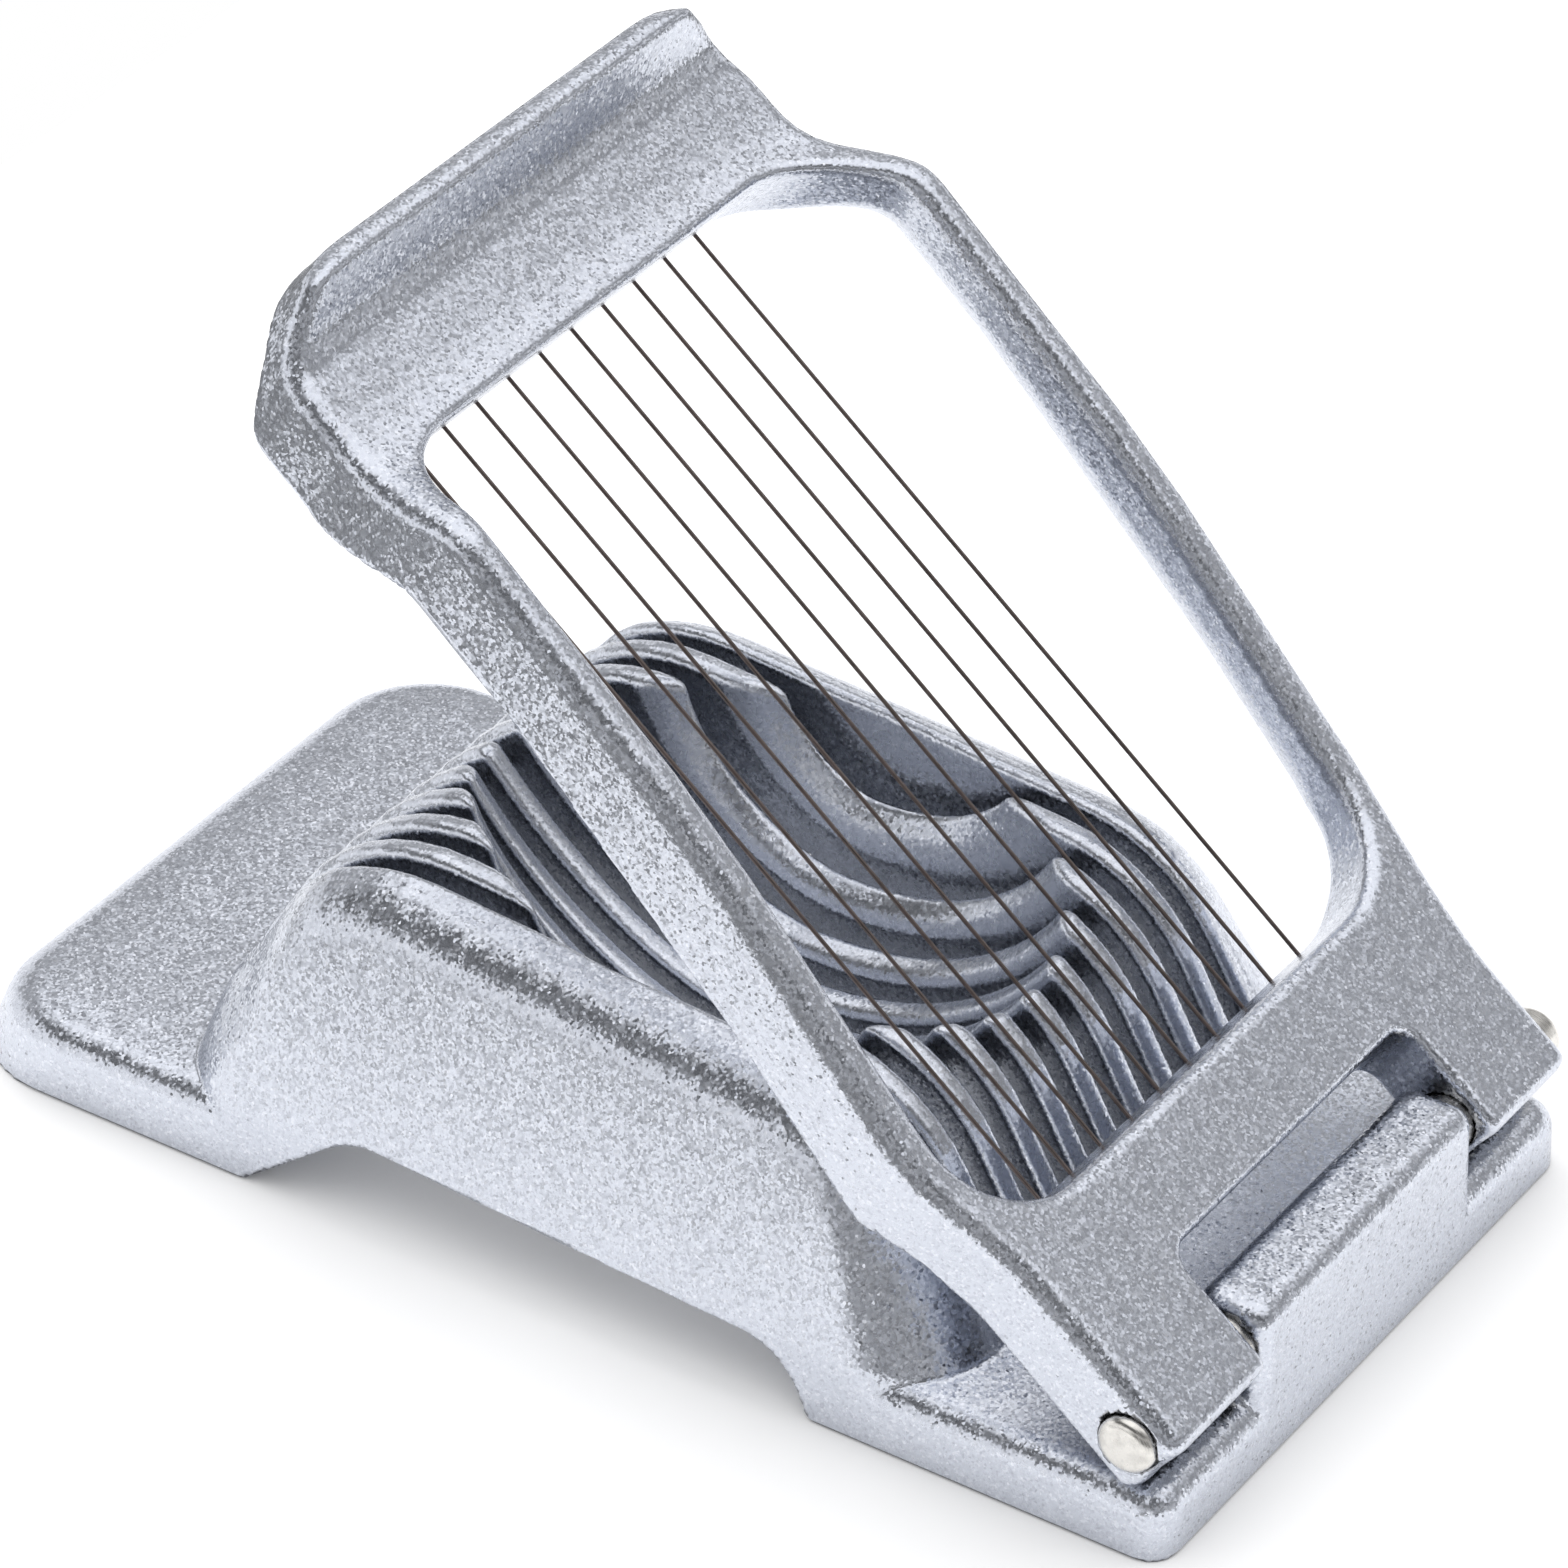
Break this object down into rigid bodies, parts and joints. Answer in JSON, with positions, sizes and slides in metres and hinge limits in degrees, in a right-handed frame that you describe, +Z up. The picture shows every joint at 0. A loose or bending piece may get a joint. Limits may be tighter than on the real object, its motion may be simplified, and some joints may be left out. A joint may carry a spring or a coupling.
{
  "type": "egg slicer",
  "caption": "Cast egg slicer: a ribbed bed with an egg-shaped hollow, and a pinned frame of thin parallel wires that swings down through the bed's slots.",
  "frame": {"origin": "on the table, under the middle of the slicer's overall footprint", "axes": "+Z up; +X towards the hinge end, so the tongue and the handle are at -X; +Y along the hinge axis"},
  "size_m": [0.138, 0.0784, 0.0998],
  "materials": {
    "cast_alloy": "cast, with a sparkling silver-grey coat",
    "pin_steel": "turned, bevelled ends",
    "wire_steel": "drawn wire, dull",
    "ferrule_brass": "plain, crimped"
  },
  "bodies": {
    "base": {"base": "cast_alloy", "hinge_pin": "pin_steel"},
    "frame": {"wire_frame": "cast_alloy", "wire_01": "wire_steel", "wire_02": "wire_steel", "wire_03": "wire_steel", "wire_04": "wire_steel", "wire_05": "wire_steel", "wire_06": "wire_steel", "wire_07": "wire_steel", "wire_08": "wire_steel", "wire_09": "wire_steel", "wire_10": "wire_steel", "hinge_ferrule_01": "ferrule_brass", "hinge_ferrule_02": "ferrule_brass", "hinge_ferrule_03": "ferrule_brass", "hinge_ferrule_04": "ferrule_brass", "hinge_ferrule_05": "ferrule_brass", "hinge_ferrule_06": "ferrule_brass", "hinge_ferrule_07": "ferrule_brass", "hinge_ferrule_08": "ferrule_brass", "hinge_ferrule_09": "ferrule_brass", "hinge_ferrule_10": "ferrule_brass", "handle_ferrule_01": "ferrule_brass", "handle_ferrule_02": "ferrule_brass", "handle_ferrule_03": "ferrule_brass", "handle_ferrule_04": "ferrule_brass", "handle_ferrule_05": "ferrule_brass", "handle_ferrule_06": "ferrule_brass", "handle_ferrule_07": "ferrule_brass", "handle_ferrule_08": "ferrule_brass", "handle_ferrule_09": "ferrule_brass", "handle_ferrule_10": "ferrule_brass"}
  },
  "joints": [
    {"name": "frame_hinge", "type": "hinge", "parent": "base", "child": "frame", "pos_m": [0.06342, 0, 0.0129], "axis": [0, 1, 0], "range_deg": [-39.3, 72.7]}
  ]
}
